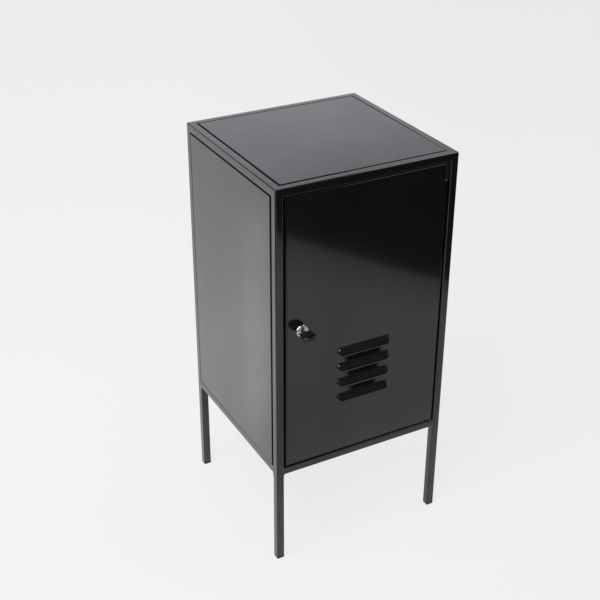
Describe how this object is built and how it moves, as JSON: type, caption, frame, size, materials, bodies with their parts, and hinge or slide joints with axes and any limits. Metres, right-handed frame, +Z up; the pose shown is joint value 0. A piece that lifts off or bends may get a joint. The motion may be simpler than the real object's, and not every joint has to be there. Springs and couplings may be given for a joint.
{
  "type": "metal locker",
  "caption": "Black painted steel bedside locker on square-tube legs, with one louvred door, a cam lock with its key and a fixed shelf inside.",
  "frame": {"origin": "on the floor, under the middle of the bounding box of the locker with its key in the lock", "axes": "+Z up, +X to the right of a person who faces the door, the door faces -Y"},
  "size_m": [0.35, 0.38, 0.75],
  "materials": {
    "black_paint": "gloss black paint on steel",
    "black_plastic": "moulded, satin",
    "black_rubber": "matt",
    "chrome": "bright plated",
    "zinc_plate": "bright zinc"
  },
  "bodies": {
    "cabinet": {"front_left_post": "black_paint", "front_left_foot_cap": "black_plastic", "front_right_post": "black_paint", "front_right_foot_cap": "black_plastic", "back_left_post": "black_paint", "back_left_foot_cap": "black_plastic", "back_right_post": "black_paint", "back_right_foot_cap": "black_plastic", "top_front_rail": "black_paint", "top_right_rail": "black_paint", "top_back_rail": "black_paint", "top_left_rail": "black_paint", "bottom_front_rail": "black_paint", "bottom_right_rail": "black_paint", "bottom_back_rail": "black_paint", "bottom_left_rail": "black_paint", "top_panel": "black_paint", "floor_panel": "black_paint", "left_side_panel": "black_paint", "right_side_panel": "black_paint", "back_panel": "black_paint", "shelf": "black_paint", "left_shelf_angle": "black_paint", "right_shelf_angle": "black_paint", "upper_hinge_knuckle": "black_paint", "upper_hinge_pin": "zinc_plate", "lower_pivot_pin": "zinc_plate", "lower_pivot_washer": "black_plastic", "upper_door_stop": "black_paint", "upper_door_buffer": "black_rubber", "lower_door_stop": "black_paint", "lower_door_buffer": "black_rubber"},
    "door": {"door_pan": "black_paint", "door_stiffener": "black_paint", "lock_case": "chrome", "lock_nut": "zinc_plate"},
    "lock_plug": {"lock_plug": "chrome", "lock_cam": "zinc_plate", "cam_screw": "zinc_plate"},
    "key": {"key_blade": "chrome", "key_head": "black_plastic"}
  },
  "joints": [
    {"name": "door_swing", "type": "hinge", "parent": "cabinet", "child": "door", "pos_m": [0.1535, -0.151, 0.47], "axis": [0, 0, 1], "range_deg": [0, 110]},
    {"name": "lock_turn", "type": "hinge", "parent": "door", "child": "lock_plug", "pos_m": [-0.1255, -0.155, 0.4835], "axis": [0, 1, 0], "range_deg": [0, 90]},
    {"name": "key_pull", "type": "slide", "parent": "lock_plug", "child": "key", "axis": [0, -1, 0], "range_m": [0, 0.02]}
  ]
}
